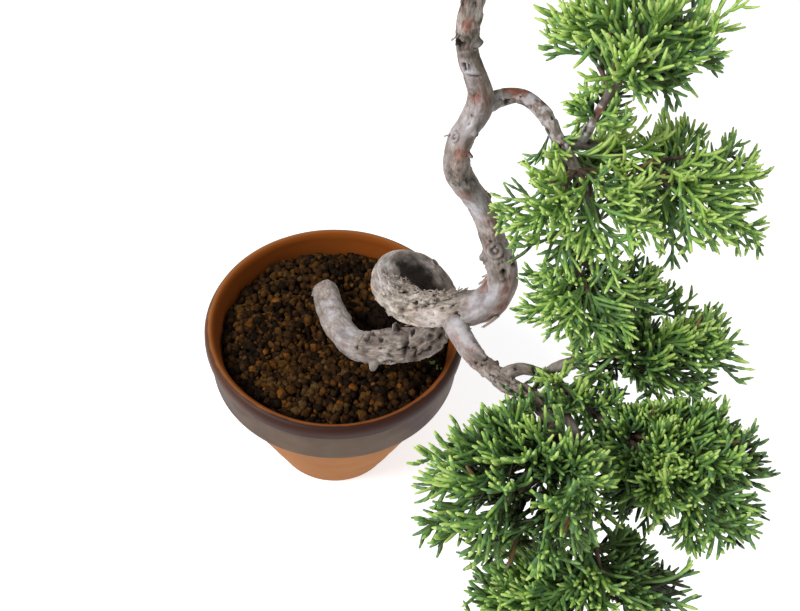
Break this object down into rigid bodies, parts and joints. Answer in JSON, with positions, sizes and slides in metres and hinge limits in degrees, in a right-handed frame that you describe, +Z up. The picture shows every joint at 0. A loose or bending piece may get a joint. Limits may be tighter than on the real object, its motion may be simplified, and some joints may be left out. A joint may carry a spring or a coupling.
{
  "type": "potted juniper bonsai with a coiled trunk",
  "caption": "Small juniper bonsai whose bare trunk rises from a round clay pot in a loose coil and carries sprays of cord-like foliage.",
  "frame": {"origin": "centre of the pot's flat underside", "axes": "+Z up along the pot's axis; +Y towards the back, away from the side where the coil shows; +X to the right from the front, the side that the lower boughs lean to"},
  "size_m": [0.2329, 0.3019, 0.4586],
  "materials": {
    "terracotta": "matte fired clay, satin glaze on the collar",
    "soil": "rough grains",
    "bark": "weathered bark",
    "needles": "matte scale foliage"
  },
  "bodies": {
    "root": {"pot": "terracotta", "soil": "soil", "trunk_foot": "bark", "trunk_coil_back": "bark", "trunk_coil_front": "bark", "trunk_middle": "bark", "trunk_upper": "bark", "trunk_top": "bark", "bough_low": "bark", "bough_low_front": "bark", "bough_low_right": "bark", "bough_low_back": "bark", "bough_mid": "bark", "bough_mid_right": "bark", "bough_mid_under": "bark", "bough_upper": "bark", "bough_left": "bark", "bough_back": "bark", "bough_right": "bark", "foliage_low_left": "needles", "foliage_low_front": "needles", "foliage_low_right": "needles", "foliage_low_back": "needles", "foliage_mid_left": "needles", "foliage_mid_right": "needles", "foliage_mid_under": "needles", "foliage_upper": "needles", "foliage_crown_top": "needles", "foliage_crown_left": "needles", "foliage_crown_back": "needles", "foliage_crown_right": "needles"}
  },
  "joints": []
}
